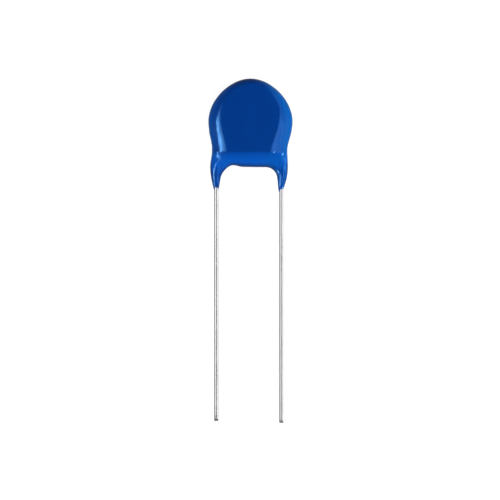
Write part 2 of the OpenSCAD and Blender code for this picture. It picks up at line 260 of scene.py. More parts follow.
def light_tent():
    """The surroundings: a low white sweep, grey above it, and a darker ceiling. FILL is their light."""
    world = bpy.data.worlds.new("light_tent")
    world.use_nodes = True
    bpy.context.scene.world = world
    graph = Graph(world.node_tree)
    direction = graph.add("ShaderNodeTexCoord").outputs["Generated"]
    height = graph.add("ShaderNodeSeparateXYZ", {"Vector": direction}).outputs["Z"]
    sweep = graph.remap(height, *SWEEP_TOP, 1.0, STUDIO_DARK, smooth=True)
    ceiling = graph.remap(height, *CEILING, 1.0, CEILING_DARK, smooth=True)
    seen = graph.maths("MULTIPLY", sweep, ceiling)
    choice = {MIX_FACTOR: seen_directly(graph), MIX_FLOAT_A: FILL, MIX_FLOAT_B: seen}
    level = graph.add("ShaderNodeMix", choice, data_type="FLOAT")
    sky = graph.add("ShaderNodeBackground", {"Color": (1, 1, 1, 1), "Strength": level.outputs[0]})
    graph.add("ShaderNodeOutputWorld", {"Surface": sky.outputs[0]})


light_tent()
bpy.context.scene.view_settings.view_transform = "Standard"
print(f"tent: white up to {SWEEP_TOP[0]} of the way up, {STUDIO_DARK} above {SWEEP_TOP[1]}")

# %% [markdown]
# ## Softboxes and strips
#
# One set of lamps could both shade and shine, but then no highlight can be moved without changing the
# shading. So two kinds share the work. The softboxes stand round the table and only shade: they model
# the body's form, strongest from the right and the left. The strips are only mirrored. On the left they
# draw the bright line along the bevel and the line down the leg. On the right they draw the short
# streak over the leg and the paler glow on the shoulder. Wide, faint ones draw the brighter sides of
# the wires. The two brightest strips are kept narrow, so that the flat face seldom mirrors them at a
# viewer.

# %% Kinds of lamp
LAMP_DISTANCE = 400.0
SOFTBOX_W, SOFTBOX_H = 260.0, 120.0
print(f"softboxes of {SOFTBOX_W:.0f} x {SOFTBOX_H:.0f} mm, {LAMP_DISTANCE:.0f} mm away")


def add_lamp(name, azimuth, elevation, width, height, brightness):
    """An area lamp that faces the part. Azimuth 0 is the part's right and 90 the far side."""
    data = bpy.data.lights.new(name, "AREA")
    data.shape = "RECTANGLE"
    data.size, data.size_y = width * MM, height * MM
    data.energy = brightness * math.pi * data.size * data.size_y
    lamp = bpy.data.objects.new(name, data)
    bpy.context.scene.collection.objects.link(lamp)
    turn, rise = math.radians(azimuth), math.radians(elevation)
    out = Vector((math.cos(turn) * math.cos(rise), math.sin(turn) * math.cos(rise), math.sin(rise)))
    lamp.location = (out * LAMP_DISTANCE + Vector((0, 0, mid_z))) * MM
    lamp.rotation_euler = out.to_track_quat("Z", "Y").to_euler()
    lamp.visible_camera = False
    return lamp


def add_softbox(name, azimuth, elevation, light):
    """A lamp that only shades. Light is what a facing matt white surface would show."""
    brightness = light * math.pi * LAMP_DISTANCE**2 / (SOFTBOX_W * SOFTBOX_H)
    lamp = add_lamp(name, azimuth, elevation, SOFTBOX_W, SOFTBOX_H, brightness)
    lamp.visible_glossy = False


def add_strip(name, azimuth, elevation, width, height, brightness):
    """A lamp that is only mirrored."""
    lamp = add_lamp(name, azimuth, elevation, width, height, brightness)
    lamp.visible_diffuse = False
    return lamp


# %% Place the lamps
add_softbox("right_softbox", -8, 13, 1.88)
add_softbox("front_softbox", -85, 60, 0.42)
add_softbox("left_softbox", 196, 12, 1.0)
add_softbox("back_softbox", 60, 24, 0.15)
coating_strips = [
    add_strip("left_strip", 187, 44, 128, 130, 92.0),
    add_strip("left_glow", 188, 63, 190, 110, 34.0),
    add_strip("left_fade", 188, 77, 140, 80, 11.0),
    add_strip("left_leg_strip", 213.5, 21, 40, 90, 480.0),
    add_strip("right_strip", -22.5, 26, 60, 120, 12.0),
    add_strip("right_front_strip", -34, 27, 52, 100, 350.0),
    add_strip("right_leg_strip", -6, 36, 110, 50, 25.0),
    add_strip("right_glow", -16, 58, 200, 170, 18.0),
    add_strip("right_back_strip", 32, 42, 170, 160, 7.0)]
wire_strips = [
    add_strip("left_wire_strip", 180, 55, 200, 320, 1.8),
    add_strip("right_wire_strip", 0, 27, 200, 200, 3.0)]
print(len(coating_strips), "strips for the coating and", len(wire_strips), "for the wires")

# %% [markdown]
# ## The coating's outline
#
# Liquid epoxy leaves a form that no primitive has. Its outline is drawn here from a few simple rules: a
# circle that swells a little at the sides and the crown, a leg that bulges and thins to nothing on each
# wire, a waist where they meet, and the arch under the web, which is a line, an arc and a level edge
# with one small ripple. A traced curve would do for one view, but its points mean nothing. Here each
# rule is a function of the height y, so the mesh may be as fine as wanted.

# %% Levels of the coating
rim_cover = 1.06
web_l = 1.75
slope_l = 2.2
tip_cover = 0.04
grip_l = 0.5

body_r = disc_r + rim_cover
web_y = -(disc_r + web_l)
flat_y = web_y + slope_l
grip_y = tip_y + grip_l
leg_l = web_y - tip_y
print(f"web edge at {web_y:.2f}, face begins at {flat_y:.2f}, legs end at {tip_y:.2f} mm")

# %% Blends


def ease(t):
    c = np.clip(t, 0, 1)
    return c * c * (3 - 2 * c)


def mix(a, b, t):
    return a + (b - a) * t


def ramp(t, soft):
    """0 below 0 and t above it, with the corner rounded over +-soft."""
    return np.where(t <= -soft, 0, np.where(t >= soft, t, (t + soft) ** 2 / (4 * soft)))


def soft_max(a, b, soft):
    """The larger of two, with the corner where they change places rounded over +-soft."""
    return max(a, b) + max(soft - abs(a - b), 0) ** 2 / (4 * soft)


print(f"a corner rounded over 1 mm is filled by {soft_max(0, 0, 1.0):.2f} mm")

# %% The outer edge
leg_cover_full = {LEFT: 0.63, RIGHT: 0.77}
leg_cover_waist = {LEFT: 0.36, RIGHT: 0.66}
waist_l, waist_blend = 2.45, 0.9
fade_y, fade_slope, fade_blend = -1.2, 1.4, waist_l / 4
side_angle, crown_angle = 40.0, 45.0


def leg_outside(side, y):
    """How far out a leg reaches, from the middle. Above fade_y it no longer widens the body."""
    full, waist = leg_cover_full[side], leg_cover_waist[side]
    if y < web_y:
        cover = mix(tip_cover, full, math.sin(math.pi / 2 * max(0, (y - tip_y) / leg_l)))
    else:
        cover = mix(full, waist, ease((y - web_y) / waist_l))
    return lead_x + wire_r + cover - fade_slope * float(ramp(y - fade_y, fade_blend))


def outside(side, y):
    body = side * disc_shift + math.sqrt(max(0, side_r**2 - y**2))
    return soft_max(body, leg_outside(side, y), waist_blend)


def upper_r(angle):
    """The body's radius at an angle in degrees: 0 at its side, 90 at the crown."""
    return (body_r + (side_r - body_r) * (1 - ease(angle / side_angle))
            + (crown_r - body_r) * ease((angle - crown_angle) / (90 - crown_angle)))


print(f"half width {outside(LEFT, 0):.2f} mm to the left, {outside(RIGHT, 0):.2f} to the right")

# %% The arch
arch_lean = {LEFT: 0.19, RIGHT: 0.15}
arch_r = {LEFT: 2.1, RIGHT: 1.7}
ripple_h, ripple_x, ripple_w = 0.27, 2.5, 1.7


def inside(side, y):
    """How far out the straight inner edge of a leg lies."""
    return lead_x - wire_r - tip_cover - arch_lean[side] * (y - tip_y)


def arch_start(side):
    """The angle at which the leg's inner edge meets the arc."""
    return math.atan(arch_lean[side])


def arc_u(side):
    """How far out the arc's centre lies."""
    return inside(side, web_y) - arch_r[side] * math.tan((math.pi / 2 - arch_start(side)) / 2)


def root_y(side):
    """The level at which the leg's inner edge meets the arc."""
    return web_y - arch_r[side] * (1 - math.sin(arch_start(side)))


def arch_point(side, q):
    """The point a share q of the way along the arch, from the leg's root to the middle."""
    r, start = arch_r[side], arch_start(side)
    arc_l = r * (math.pi / 2 - start)
    s = q * (arc_l + arc_u(side))
    a = mix(start, math.pi / 2, min(s / arc_l, 1))
    u = arc_u(side) + r * math.cos(a) - max(0, s - arc_l)
    ripple = 0.0
    if side == LEFT and abs(u - ripple_x) < ripple_w:
        ripple = ripple_h * math.cos(math.pi / 2 * (u - ripple_x) / ripple_w) ** 2
    return u, web_y - r + r * math.sin(a) + ripple


print(f"the arch rises from {root_y(LEFT):.2f} and {root_y(RIGHT):.2f} mm")

# %% Round the body


def body_point(side, q):
    """The point a share q of the way round the body, from the leg's root to the crown."""
    low = -root_y(side)
    split = low / (low + body_r * math.pi / 2)
    if q < split:
        y = -low * (1 - q / split)
        return outside(side, y), y
    a = 90 * (q - split) / (1 - split)
    r = float(upper_r(a))
    return side * disc_shift + r * math.cos(math.radians(a)), r * math.sin(math.radians(a))


print(f"crown at {body_point(RIGHT, 1.0)[1]:.2f} mm")

# %% [markdown]
# ## The coating's thickness
#
# Over the disc the coating is flat. Below the disc it slopes down to the web, and along each leg it
# thins to the wire. Extruding the outline would give one thickness all over, so the thickness is a
# second function of the height y.

# %% The coating's thickness
web_half_t = 1.15
thickness_blend, crease_blend = 0.6, 0.14

leg_slope = (web_half_t - wire_r - tip_cover) / leg_l
web_slope = (body_half_t - web_half_t) / slope_l


def half_thickness(y):
    return (wire_r + tip_cover + leg_slope * (y - tip_y)
            + (web_slope - leg_slope) * ramp(y - web_y, thickness_blend)
            - web_slope * ramp(y - flat_y, crease_blend))


print(f"thickness {2 * half_thickness(0):.2f} over the disc, {2 * half_thickness(tip_y):.2f} mm at a tip")

# %% [markdown]
# ## The lean of the legs
#
# The wires are soldered to opposite faces of the disc, so each leg leaves the mid-plane a little to
# follow its own wire: the left one to the front, the right one to the back. The skin could be bent with
# a lattice afterwards, but lifting its middle by a rule keeps the legs true to the wires.

# %% The lean of the legs
lean_share = 0.55
lean_start = 0.4
solder_film = 0.04
wire_z = box_mm("front_electrode")[1][2] - mid_z + solder_film + wire_r


def mid_lift(plan):
    """How far the middle of the coating leaves the mid-plane: to the front on the left leg."""
    x, y = plan[:, 0], plan[:, 1]
    rise = np.maximum(0, (y - grip_y) * wire_z / (flat_y - grip_y))
    fade = 1 - ease((y - web_y + lean_start) / waist_l)
    return -lean_share * rise * fade * ease(abs(x) / lead_x) * np.sign(x)


print(f"a wire lies {wire_z:.2f} mm off the mid-plane on its electrode")

# %% [markdown]
# ## The path of a wire
#
# Each lead is one wire. Below the coating it is straight, in the mid-plane of the body. Inside, it bends
# twice: first up towards one face of the disc, then inwards across its electrode. A bevelled curve
# object would draw it, but the coating needs the same points, because the epoxy follows the wire and
# shows it as a low ridge. So the path is a list of points, made first.

# %% Path of a wire
UP_Y = np.array((0.0, 1.0, 0.0))
BEND_STEPS = 8
bend_r = 1.2
hook_drop = 6.8
hook_angle = math.radians(42)
hook_l = 7.6
cut_l, cut_land = 0.45, 0.12


def bend(corner, a, b):
    """Points and directions round a bend at corner, from direction a to direction b."""
    turn = math.acos(float(np.dot(a, b)))
    side = b - math.cos(turn) * a
    side /= np.linalg.norm(side)
    centre = corner - bend_r * math.tan(turn / 2) * a + bend_r * side
    for t in np.linspace(0, turn, BEND_STEPS + 1):
        yield (centre - bend_r * (math.cos(t) * side - math.sin(t) * a),
               math.cos(t) * a + math.sin(t) * side)


def wire_path():
    """The left lead's path inside the coating, from the grip to its end on the electrode."""
    hook_corner = np.array((-lead_x, -hook_drop, wire_z))
    rough = hook_corner - (-lead_x, grip_y, 0)
    rough /= np.linalg.norm(rough)
    first = np.array((-lead_x, grip_y + bend_r * math.tan(math.acos(rough[1]) / 2), 0))
    rise = (hook_corner - first) / np.linalg.norm(hook_corner - first)
    hook = np.array((math.sin(hook_angle), math.cos(hook_angle), 0))
    yield from bend(first, UP_Y, rise)
    yield from bend(hook_corner, rise, hook)
    yield hook_corner + hook_l * hook, hook


wire_line = np.array([centre for centre, direction in wire_path()])
print(f"{np.linalg.norm(np.diff(wire_line, axis=0), axis=1).sum():.2f} mm of each wire is inside")

# %% [markdown]
# ## Ribs
#
# The coating is skinned like a ship's hull. Ribs run from the inner edge, the arch, to the outer edge.
# They stand side by side from the tip of the left leg, over the head, to the tip of the right leg. Each
# rib gives one closed section, front and back, and the sections are joined by quads. A subdivision
# surface over a rough cage would be quicker to block out, but it would round off the crease below the
# face and drift from the outline.
#
# Each rib also carries how broadly its two ends are rounded. The outer rounding is narrow on a leg,
# widens over the shoulder to a broad bevel at the sides, and is tight again at the crown, where the
# epoxy drained away. The bevel is a little broader on the right than on the left.

# %% Ribs of a leg
LEG_RIBS = 46
TIP_CROWDING = 1.2
ROUND_POWER = 2.0


def leg_half(side, y):
    return (outside(side, y) - inside(side, y)) / 2


def leg_rib(side, t):
    """Both ends of a rib, the widths of its two roundings and the power of the outer one."""
    y = mix(tip_y, root_y(side), t**TIP_CROWDING)
    half = leg_half(side, y)
    return (inside(side, y), y), (outside(side, y), y), half, half, ROUND_POWER


print(f"a leg is {2 * leg_half(LEFT, web_y):.2f} and {2 * leg_half(RIGHT, web_y):.2f} mm wide at the web")

# %% Ribs of the web and body
FAN_RIBS = 120
WEB_SHARE, POWER_SHARE = 0.4, 0.3
web_round, waist_round, crown_round = 0.80, 2.9, 1.35
side_round = {LEFT: 2.75, RIGHT: 3.5}
shoulder_low, shoulder_high = 0.85, 0.55
body_power = 2.3


def outer_round(side, y):
    """How broadly the outer edge is rounded at a level."""
    if y > 0:
        return mix(side_round[side], crown_round, float(ease(y / body_r)))
    low, top = web_y + side * shoulder_low, flat_y + shoulder_high
    bevel = mix(waist_round, side_round[side], float(ease(1 - y / top)))
    return mix(leg_half(side, root_y(side)), bevel, float(ease((y - low) / (top - low))))


def fan_rib(side, q):
    """A rib from the arch to the body's outline, q of the way from the leg to the crown."""
    start, end = arch_point(side, q), body_point(side, q)
    inner = mix(leg_half(side, root_y(side)), web_round, float(ease(q / WEB_SHARE)))
    power = mix(ROUND_POWER, body_power, float(ease(q / POWER_SHARE)))
    return start, end, inner, outer_round(side, end[1]), power


def side_ribs(side):
    ribs = [leg_rib(side, k / LEG_RIBS) for k in range(LEG_RIBS + 1)]
    ribs += [fan_rib(side, k / FAN_RIBS) for k in range(1, FAN_RIBS + 1)]
    return [(np.array((side * a[0], a[1])), np.array((side * b[0], b[1])), *rest)
            for a, b, *rest in ribs]


ribs = side_ribs(LEFT) + side_ribs(RIGHT)[-2::-1]
inner_edge = np.array([rib[0] for rib in ribs])
outer_edge = np.array([rib[1] for rib in ribs])
print(len(ribs), "ribs")

# %% [markdown]
# ## Sections
#
# A rib turns into a closed section of the real coating: over the front to the outer edge and back over
# the rear. The height at a point is set by its true distance to the two edges. The distance along the
# rib would be simpler, but then the roundings would kink where slanting ribs fan out from the legs.

# %% Distance to the edges
LEAST_SQUARE = 0.35


def distance_to(edge, plan):
    """The distance from each point in plan to a line of points."""
    a, ab = edge[:-1], np.diff(edge, axis=0)
    ap = plan[:, None] - a[None]
    t = np.clip((ap * ab).sum(-1) / (ab * ab).sum(-1), 0, 1)
    return np.linalg.norm(ap - t[..., None] * ab, axis=-1).min(axis=1)


def squareness(k, edge):
    """How squarely a rib meets an edge: 1 where it meets it at a right angle."""
    along = ribs[k][1] - ribs[k][0]
    run = edge[min(k + 1, len(edge) - 1)] - edge[max(k - 1, 0)]
    cross = along[0] * run[1] - along[1] * run[0]
    return max(LEAST_SQUARE, abs(cross) / (np.linalg.norm(along) * np.linalg.norm(run)))


slanted = min(squareness(k, outer_edge) for k in range(len(ribs)))
print(f"the most slanted rib has a squareness of {slanted:.2f} at the outer edge")

# %% Points along a rib
ROUND_STEPS = 18
SLOPE_STEPS = 8
CREASE_STEPS = 10
FLAT_STEPS = 22
CREASE_PARTS = 6


def rib_stops(length, inner, outer, crease):
    """Distances along a rib: dense at both rounded edges and over the crease."""
    quarter = 1 - np.cos(np.linspace(0, math.pi / 2, ROUND_STEPS + 1))[1:-1]
    a, b = inner * quarter[-1], length - outer * quarter[-1]
    half = min(crease_blend, (b - a) / CREASE_PARTS)
    c = min(max(crease, a + 2 * half), b - 2 * half)
    return np.concatenate((
        inner * quarter,
        np.linspace(a, c - half, SLOPE_STEPS + 1)[1:],
        np.linspace(c - half, c + half, CREASE_STEPS + 1)[1:],
        np.linspace(c + half, b, FLAT_STEPS + 1)[1:],
        (length - outer * quarter[::-1])[1:]))


def edge_height(distance, width, power):
    """The share of the full thickness at a distance from a rounded edge."""
    t = np.clip(1 - distance / width, 0, 1)
    return (1 - t**power) ** (1 / power)


print(2 * ROUND_STEPS + SLOPE_STEPS + CREASE_STEPS + FLAT_STEPS, "steps along a rib")

# %% [markdown]
# ## Ridges over the wires
#
# On the real part each wire shows as a low ridge where it runs close under the epoxy, from the leg over
# the shoulder. It could be a bump in the material, but then it would vanish in a side view, so the
# surface itself is raised: a soft maximum of the skin and a round back over the wire.

# %% Ridges over the wires
ridge_cover, ridge_r, ridge_blend, ridge_fade = 0.24, 0.42, 0.5, 0.45
ridge_start, ridge_run = 0.8, 2.5
full_ridge_y = tip_y + ridge_start + ridge_run
print(f"a ridge covers its wire with {ridge_cover} mm of epoxy from {full_ridge_y:.2f} mm up")


def ridge(plan, surface, side):
    """The surface raised so that it covers the wire on its own side. It is unchanged at the edges."""
    line = wire_line * (-side, 1, 1)
    a, ab = line[:-1], np.diff(line, axis=0)
    ap = plan[:, None] - a[None, :, :2]
    t = np.clip((ap * ab[:, :2]).sum(-1) / (ab[:, :2] ** 2).sum(-1), 0, 1)
    off = np.linalg.norm(ap - t[..., None] * ab[:, :2], axis=-1)
    near = off.argmin(axis=1)
    rows = np.arange(len(plan))
    off, z = off[rows, near], (a[:, 2] + t * ab[:, 2])[rows, near]
    cover = ridge_cover * ease((plan[:, 1] - tip_y - ridge_start) / ridge_run)
    top = z + wire_r + cover - off**2 / (2 * ridge_r)
    blend = np.maximum(ridge_blend - abs(surface - top), 0) ** 2 / (4 * ridge_blend)
    raised = np.maximum(surface, top) + blend
    edge = np.minimum(distance_to(inner_edge, plan), distance_to(outer_edge, plan))
    return np.minimum(body_half_t, surface + (raised - surface) * ease(edge / ridge_fade))


# %% Closed sections
RIB_FILL = 0.98
LEVEL_RIB = 0.01


def section(k):
    """One closed section of the coating: over the front to the outer edge, then back."""
    start, end, inner, outer, power = ribs[k]
    length = np.linalg.norm(end - start)
    along = (end - start) / length
    middle = ((start + end) / 2)[None]
    room = (distance_to(inner_edge, middle) + distance_to(outer_edge, middle))[0]
    squeeze = min(1, room / (inner + outer))
    inner, outer = inner * squeeze, outer * squeeze
    reach_in = inner / squareness(k, inner_edge)
    reach_out = outer / squareness(k, outer_edge)
    fit = min(1, RIB_FILL * length / (reach_in + reach_out))
    crease = (flat_y - start[1]) / along[1] if along[1] > LEVEL_RIB else length / 2
    stops = rib_stops(length, reach_in * fit, reach_out * fit, crease)
    plan = start + stops[:, None] * along
    height = (half_thickness(plan[:, 1])
              * edge_height(distance_to(inner_edge, plan), inner, ROUND_POWER)
              * edge_height(distance_to(outer_edge, plan), outer, power))
    lift = mid_lift(plan)
    front = np.column_stack((plan, ridge(plan, lift + height, LEFT)))
    back = np.column_stack((plan, -ridge(plan, height - lift, RIGHT)))[::-1]
    ends = np.array((start, end))
    inner_point, outer_point = np.column_stack((ends, mid_lift(ends)))
    return np.vstack((inner_point, front, outer_point, back))


sections = [section(k) for k in range(len(ribs))]
print(len(sections[0]), "points in each section")

# %% [markdown]
# ## The lip on each wire
#
# At the end of a leg the epoxy thins and stops on the wire. The first and last sections are closed
# with a lip: the edge turns in to the wire, then a short sleeve runs up inside along it, where the wire
# hides it. So the mesh is closed, and no loose flap shows at the tip, where a Boolean cut round the
# wire would leave slivers. The two ends differ a little: the edge has a shallow notch in it over the
# left wire, and on the right it slants, lower on one side.

# %% The lip on each wire
LIP_L = 0.02
LIP_GAP = 0.004
SLEEVE_L = 0.4
print(f"a lip {tip_cover - LIP_GAP:.3f} mm high and a sleeve {SLEEVE_L} mm long")


def lip_rings(tip_section, side):
    """Two rings round the wire, the lip and the sleeve, set out from the tip's section, which with_lips
    pulls back a little.
    """
    centre = np.array((side * lead_x, tip_y, 0))
    offset = tip_section - centre
    offset[:, 1] = 0
    direction = offset / np.linalg.norm(offset, axis=1)[:, None]
    lip = centre + direction * (wire_r + LIP_GAP)
    sleeve = lip + (0, SLEEVE_L, 0)
    return [sleeve, lip]


# %% How the epoxy ends
NOTCH_H = 0.42
RUN_L = 0.34
END_RISE = 0.10
END_WIDTH = 0.8
END_FADE = 1.6


def tip_rise(points, side):
    """How far the coating's end lies above the tip: it drew back in a notch, or left a run inside."""
    u = np.clip(side * (points[:, 0] - side * lead_x) / wire_r, -1, 1)
    if side == LEFT:
        return NOTCH_H * (1 - u**2)
    return mix(-RUN_L, END_RISE, ease((1 + u) / END_WIDTH))


def with_lips(rings):
    """All the sections, with a lip and a sleeve at both ends and the ends shaped."""
    rings = [ring.copy() for ring in rings]
    for ring in rings:
        ring[:, 1] = np.where(ring[:, 1] < tip_y + LIP_L, tip_y + LIP_L, ring[:, 1])
    rings = lip_rings(rings[0], LEFT) + rings + lip_rings(rings[-1], RIGHT)[::-1]
    for ring in rings:
        side = LEFT if ring[0, 0] < 0 else RIGHT
        ring[:, 1] += tip_rise(ring, side) * (1 - ease((ring[:, 1] - tip_y) / END_FADE))
    return rings


rings = with_lips(sections)
print(len(rings), "rings with the lips")

# %% [markdown]
# ## A skin over rings
#
# Both the coating and the wires are rows of rings with as many points each. Blender's own bridge tool
# would join them too, but it has to guess which point meets which. Here point meets point by its number.

# %% Skin and mesh


def skin(rings):
    """A closed mesh over a row of rings that all have as many points."""
    points = np.vstack(rings)
    n = len(rings[0])
    faces = []
    for k in range(len(rings) - 1):
        a, b = k * n, (k + 1) * n
        faces += [(a + i, b + i, b + (i + 1) % n, a + (i + 1) % n) for i in range(n)]
    faces.append(tuple(range(n)))
    last = (len(rings) - 1) * n
    faces.append(tuple(last + i for i in reversed(range(n))))
    return points, faces


def to_mesh(name, points, faces):
    """A smooth mesh object from points in millimetres about the mid-plane."""
    mesh = bpy.data.meshes.new(name)
    placed = (np.asarray(points) + (0, 0, mid_z)) * MM
    mesh.from_pydata(placed.tolist(), [], faces)
    mesh.validate()
    mesh.polygons.foreach_set("use_smooth", [True] * len(mesh.polygons))
    mesh.update()
    piece = bpy.data.objects.new(name, mesh)
    bpy.context.scene.collection.objects.link(piece)
    return piece


points, faces = skin(rings)
print(len(points), "points and", len(faces), "faces in the coating's skin")

# %% [markdown]
# ## A hand-dipped surface
#
# No dip is perfect: the face is very slightly uneven and the rims wander by a few hundredths of a
# millimetre. Smooth noise pushes the skin inwards by that much, so that the highlights are not ruled
# lines. A displacement modifier would do this all over. Here it only goes inwards, to keep the part's
# size, and it fades out at the lips.

# %% An uneven skin
SAG = 0.05
SAG_GRAIN = 3.2
SAG_SMOOTHING, SAG_STEP, SAG_OCTAVES = 0.8, 2.0, 2
SAG_START, SAG_FADE = 0.2, 1.5
print(f"the skin sinks by up to {SAG} mm, in waves of {SAG_GRAIN} mm")


def uneven(points, normals):
    moved = points.copy()
    for i, (x, y, z) in enumerate(points):
        place = (x / SAG_GRAIN, y / SAG_GRAIN, z / SAG_GRAIN)
        depth = SAG * (0.5 + 0.5 * noise.fractal(place, SAG_SMOOTHING, SAG_STEP, SAG_OCTAVES))
        depth *= float(ease((y - tip_y - SAG_START) / SAG_FADE))
        moved[i] -= normals[i] * max(0, depth)
    return moved


def mesh_normals(mesh):
    normals = np.empty(3 * len(mesh.vertices))
    mesh.vertices.foreach_get("normal", normals)
    return normals.reshape(-1, 3)


# %% Make the coating


def make_coating(points, faces):
    piece = to_mesh("coating", points, faces)
    points = uneven(points, mesh_normals(piece.data))
    placed = (points + (0, 0, mid_z)) * MM
    piece.data.vertices.foreach_set("co", placed.ravel())
    piece.data.update()
    return piece


coating = make_coating(points, faces)
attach(coating, "root")
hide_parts("epoxy_coating")
print("coating:", len(coating.data.vertices), "points,", len(coating.data.polygons), "faces")

# %% Strips for the coating


def light_only(strips, pieces, name):
    """Let these strips light only these pieces."""
    lit = bpy.data.collections.new(name)
    for piece in pieces:
        lit.objects.link(piece)
    for strip in strips:
        strip.light_linking.receiver_collection = lit


light_only(coating_strips, [coating], "lit_on_coating")
print("the coating mirrors", ", ".join(strip.name for strip in coating_strips))

# %% [markdown]
# ## Blue epoxy
#
# The coating is a filled, pigmented epoxy: opaque, deep blue and glossy as it flowed and cured. Close
# up it has a faint orange peel, a few dust nibs and a slightly mottled colour. Light and shade are also
# painted into the colour: painted light makes it lighter at the crease and over the web, and lighter and
# a little greener on the right shoulder and on steep sides, and painted shade makes it darkest on the
# sides of the legs. The flat faces cured a little smoother than the rest.
#
# The colour could be painted on a texture. Rules for height, side and slope follow the form by
# themselves and stay sharp from close by. Cured epoxy has an index of about 1.5 and mirrors all colours
# alike. With these lamps that veils the deep blue with white, so the index is set lower than the real
# one and the mirror is tinted blue. Under other lamps the real values may serve better.

# %% Colour of the faces
EPOXY_DEEP = (0.0010, 0.036, 0.225, 1)
EPOXY_DARK = (0.0009, 0.032, 0.195, 1)
# Painted light: this lighter blue is laid on the crease and the web.
EPOXY_PAINTED_LIGHT = (0.0018, 0.078, 0.435, 1)
MOTTLE_GRAIN, MOTTLE_SPREAD, MOTTLE_SHARE = 2.6, (0.35, 0.70), 0.55
CREASE_BAND, CREASE_SHARE = (flat_y + 0.15, flat_y - 0.35), 0.55
WEB_BAND, WEB_PAINTED_LIGHT_SHARE = (flat_y - 0.3, web_y + 0.2), 0.45
LEG_BAND = (web_y + 1.3, web_y - 1.5)


def face_colour(graph, place, height):
    """Mottled deep blue, with painted light at the crease and over the web, and deep again on the legs."""
    crease = graph.remap(height, *CREASE_BAND, 0.0, CREASE_SHARE, smooth=True)
    web = graph.remap(height, *WEB_BAND, 0.0, WEB_PAINTED_LIGHT_SHARE, smooth=True)
    above_legs = graph.remap(height, *LEG_BAND, 1.0, 0.0, smooth=True)
    # Painted light over the crease and the web, taken off again on the legs.
    painted_web_light = graph.maths("MULTIPLY", graph.maths("ADD", crease, web), above_legs)
    mottle = graph.remap(graph.noise(place, MOTTLE_GRAIN, 3.0), *MOTTLE_SPREAD, 0.0, MOTTLE_SHARE)
    return graph.mix_colour(painted_web_light, graph.mix_colour(mottle, EPOXY_DEEP, EPOXY_DARK), EPOXY_PAINTED_LIGHT)


print(f"lighter below {CREASE_BAND[0]:.2f} mm and deep again below {LEG_BAND[1]:.2f} mm")

# %% Colour of the sides
# Painted light: a lighter, greener blue on the right shoulder.
EPOXY_PAINTED_SHOULDER_LIGHT = (0.0008, 0.070, 0.285, 1)
# Painted light: a lighter, greener blue on steep sides, a little less of it on the right.
EPOXY_PAINTED_SIDE_LIGHT = (0.0006, 0.073, 0.230, 1)
# Painted shade: the darkest blue, on the sides of the legs.
EPOXY_PAINTED_LEG_SHADE = (0.0006, 0.018, 0.115, 1)
BEVEL_FACING, STEEP_FACING, LEG_FACING = (0.75, 0.985), (0.10, 0.85), (0.30, 0.85)
SHOULDER_BAND, SHOULDER_SHARE = (1.5, 4.5), 0.65
MIDDLE_BAND, STEEP_SHARE, STEEP_RIGHT = (-3.0, 3.0), 0.80, 0.9
ROOT_BAND = (web_y + 1.3, web_y - 0.7)


def side_colour(graph, face, across, height, upward):
    """The face's colour, with painted light on the right shoulder, then on steep sides, then painted shade
    on the legs' sides.
    """
    # Painted light on the right shoulder's bevel.
    bevel = graph.remap(upward, *BEVEL_FACING, 1.0, 0.0, smooth=True)
    to_right = graph.remap(across, *SHOULDER_BAND, 0.0, SHOULDER_SHARE, smooth=True)
    colour = graph.mix_colour(graph.maths("MULTIPLY", bevel, to_right), face, EPOXY_PAINTED_SHOULDER_LIGHT)
    # Painted light on steep sides.
    slope = graph.remap(upward, *STEEP_FACING, STEEP_SHARE, 0.0, smooth=True)
    steep = graph.maths("MULTIPLY", slope, graph.remap(across, *MIDDLE_BAND, 1.0, STEEP_RIGHT))
    colour = graph.mix_colour(steep, colour, EPOXY_PAINTED_SIDE_LIGHT)
    # Painted shade on the sides of the legs.
    leg_side = graph.remap(upward, *LEG_FACING, 1.0, 0.0, smooth=True)
    on_leg = graph.remap(height, *ROOT_BAND, 0.0, 1.0, smooth=True)
    return graph.mix_colour(graph.maths("MULTIPLY", leg_side, on_leg), colour, EPOXY_PAINTED_LEG_SHADE)


print(f"the shoulder's blue sets in {SHOULDER_BAND[0]} mm right of the middle")

# %% Gloss, peel and dust
HAZE_GRAIN, PEEL_GRAIN, NIB_GRAIN = 1.1, 1.3, 0.22
PEEL_H, NIB_H = 0.0010, 0.008
HAZE_SPREAD, GLOSS = (0.3, 0.75), (0.13, 0.21)
FLAT_FACING, FLAT_SHARE = (0.993, 0.9995), 0.40
NIB_LEVEL = (0.74, 0.80)


def epoxy_roughness(graph, place, upward):
    """Slightly cloudy gloss. The flat faces, which look almost straight up or down, are smoother."""
    cloudy = graph.remap(graph.noise(place, HAZE_GRAIN, 4.0, GRAINY), *HAZE_SPREAD, *GLOSS)
    return graph.maths("MULTIPLY", cloudy, graph.remap(upward, *FLAT_FACING, 1.0, FLAT_SHARE, smooth=True))


def epoxy_relief(graph, place):
    """Orange peel with a few dust nibs on it."""
    peel = graph.bump(graph.noise(place, PEEL_GRAIN, 1.0), PEEL_H)
    nibs = graph.remap(graph.noise(place, NIB_GRAIN, 0.0), *NIB_LEVEL, 0.0, 1.0, smooth=True)
    return graph.bump(nibs, NIB_H, normal=peel)


print(f"peel {1000 * PEEL_H:.0f} and dust nibs {1000 * NIB_H:.0f} micrometres high")

# %% Blue epoxy
EPOXY_IOR = 1.20
EPOXY_TINT = (0.154, 0.51, 1.0, 1)


